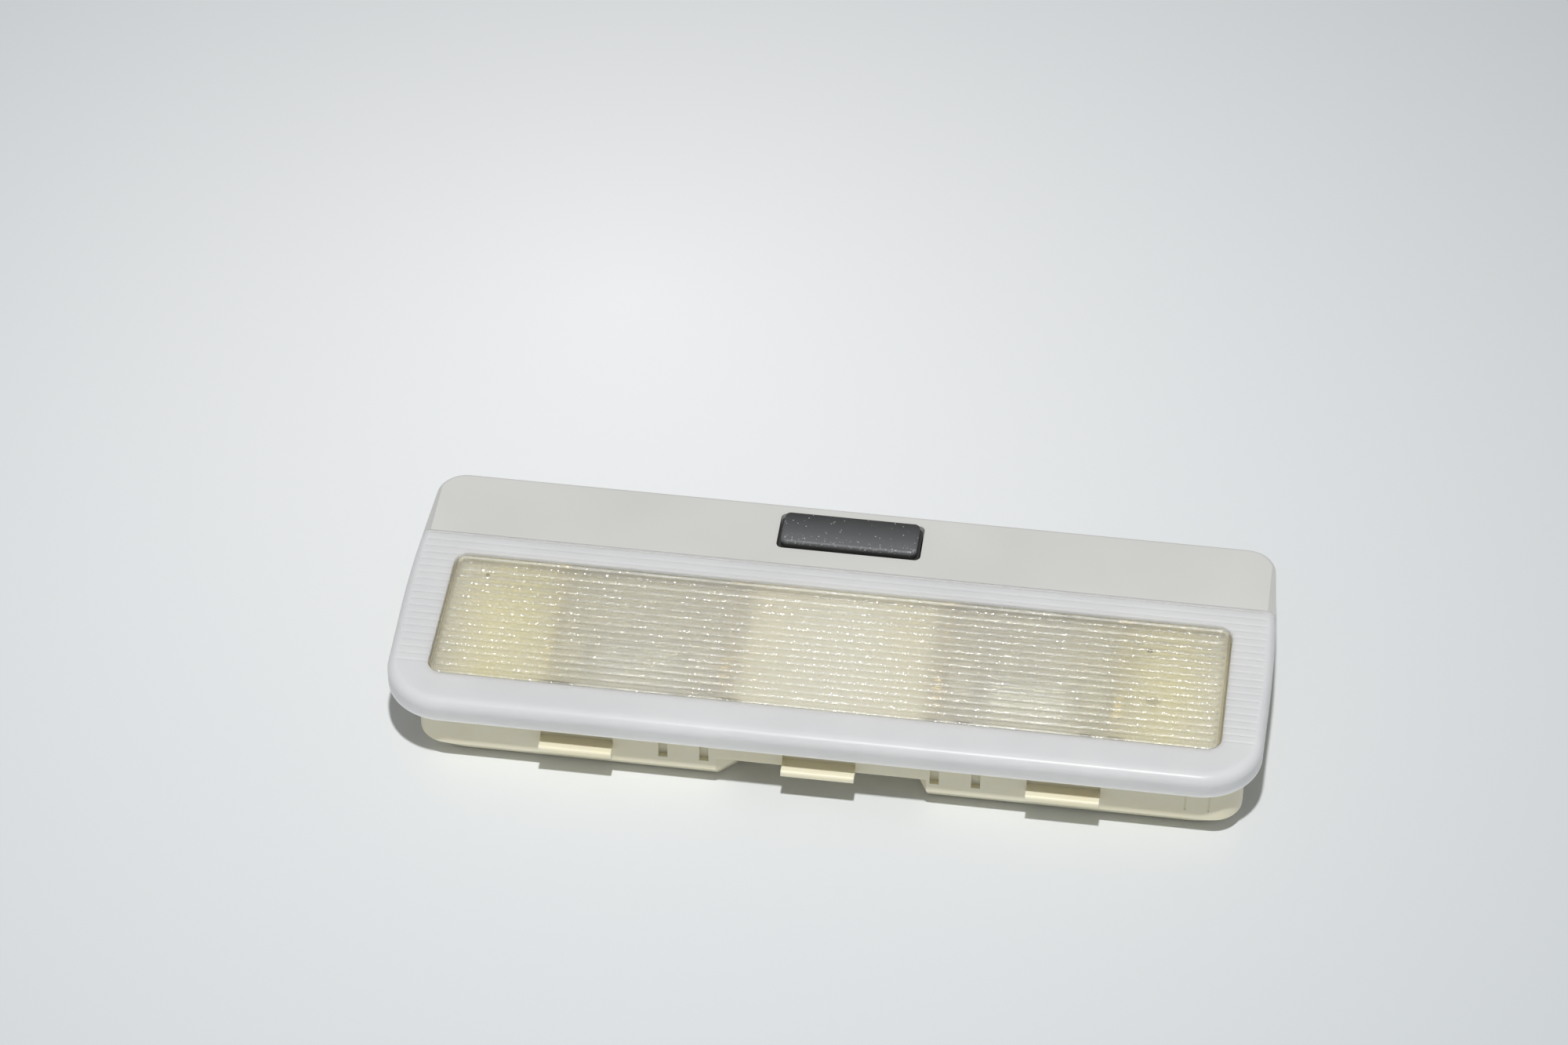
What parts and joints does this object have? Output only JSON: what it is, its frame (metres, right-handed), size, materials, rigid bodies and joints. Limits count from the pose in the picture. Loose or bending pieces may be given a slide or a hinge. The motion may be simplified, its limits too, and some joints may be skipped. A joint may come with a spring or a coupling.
{
  "type": "car interior light",
  "caption": "Oblong clip-in car roof lamp with a ribbed clear window in a milky lens, a grey switch panel with a dark push button, and a cream base that holds festoon bulbs.",
  "frame": {"origin": "under the middle of the rim, on the plane of the tub floors", "axes": "+X along the lamp, +Y from the lens towards the switch panel, +Z out of the lens"},
  "size_m": [0.1686, 0.0632, 0.0204],
  "materials": {
    "cream_plastic": "satin moulded",
    "grey_plastic": "fine grained",
    "opal_plastic": "milky, glossy",
    "clear_plastic": "clear, ribbed",
    "dark_plastic": "satin moulded",
    "switch_plastic": "moulded",
    "reflector_sheet": "rolled",
    "contact_brass": "stamped",
    "spring_steel": "drawn",
    "cap_metal": "nickel plated",
    "lamp_glass": "clear",
    "filament_wire": "drawn"
  },
  "bodies": {
    "lamp": {"base_housing": "cream_plastic", "switch_panel": "grey_plastic", "lens_frame": "opal_plastic", "lens_window": "clear_plastic", "button_spring": "spring_steel", "switch_carrier": "switch_plastic", "switch_contact_earth": "contact_brass", "switch_contact_signal": "contact_brass", "supply_strip": "contact_brass", "earth_strip": "contact_brass", "bulb_glass_left": "lamp_glass", "bulb_filament_left": "filament_wire", "reflector_left": "reflector_sheet", "retaining_clip_left": "spring_steel", "bulb_cap_left_outer": "cap_metal", "bulb_contact_left_outer": "contact_brass", "bulb_cap_left_inner": "cap_metal", "bulb_contact_left_inner": "contact_brass", "bulb_glass_right": "lamp_glass", "bulb_filament_right": "filament_wire", "reflector_right": "reflector_sheet", "retaining_clip_right": "spring_steel", "bulb_cap_right_outer": "cap_metal", "bulb_contact_right_outer": "contact_brass", "bulb_cap_right_inner": "cap_metal", "bulb_contact_right_inner": "contact_brass"},
    "button": {"switch_button": "dark_plastic", "contact_bridge": "contact_brass"}
  },
  "joints": [
    {"name": "button_press", "type": "slide", "parent": "lamp", "child": "button", "axis": [0, 0, -1], "range_m": [0, 0.0018], "stiffness_N_per_m": 700, "springref_m": -0.0008, "deforming": ["button_spring"]}
  ]
}
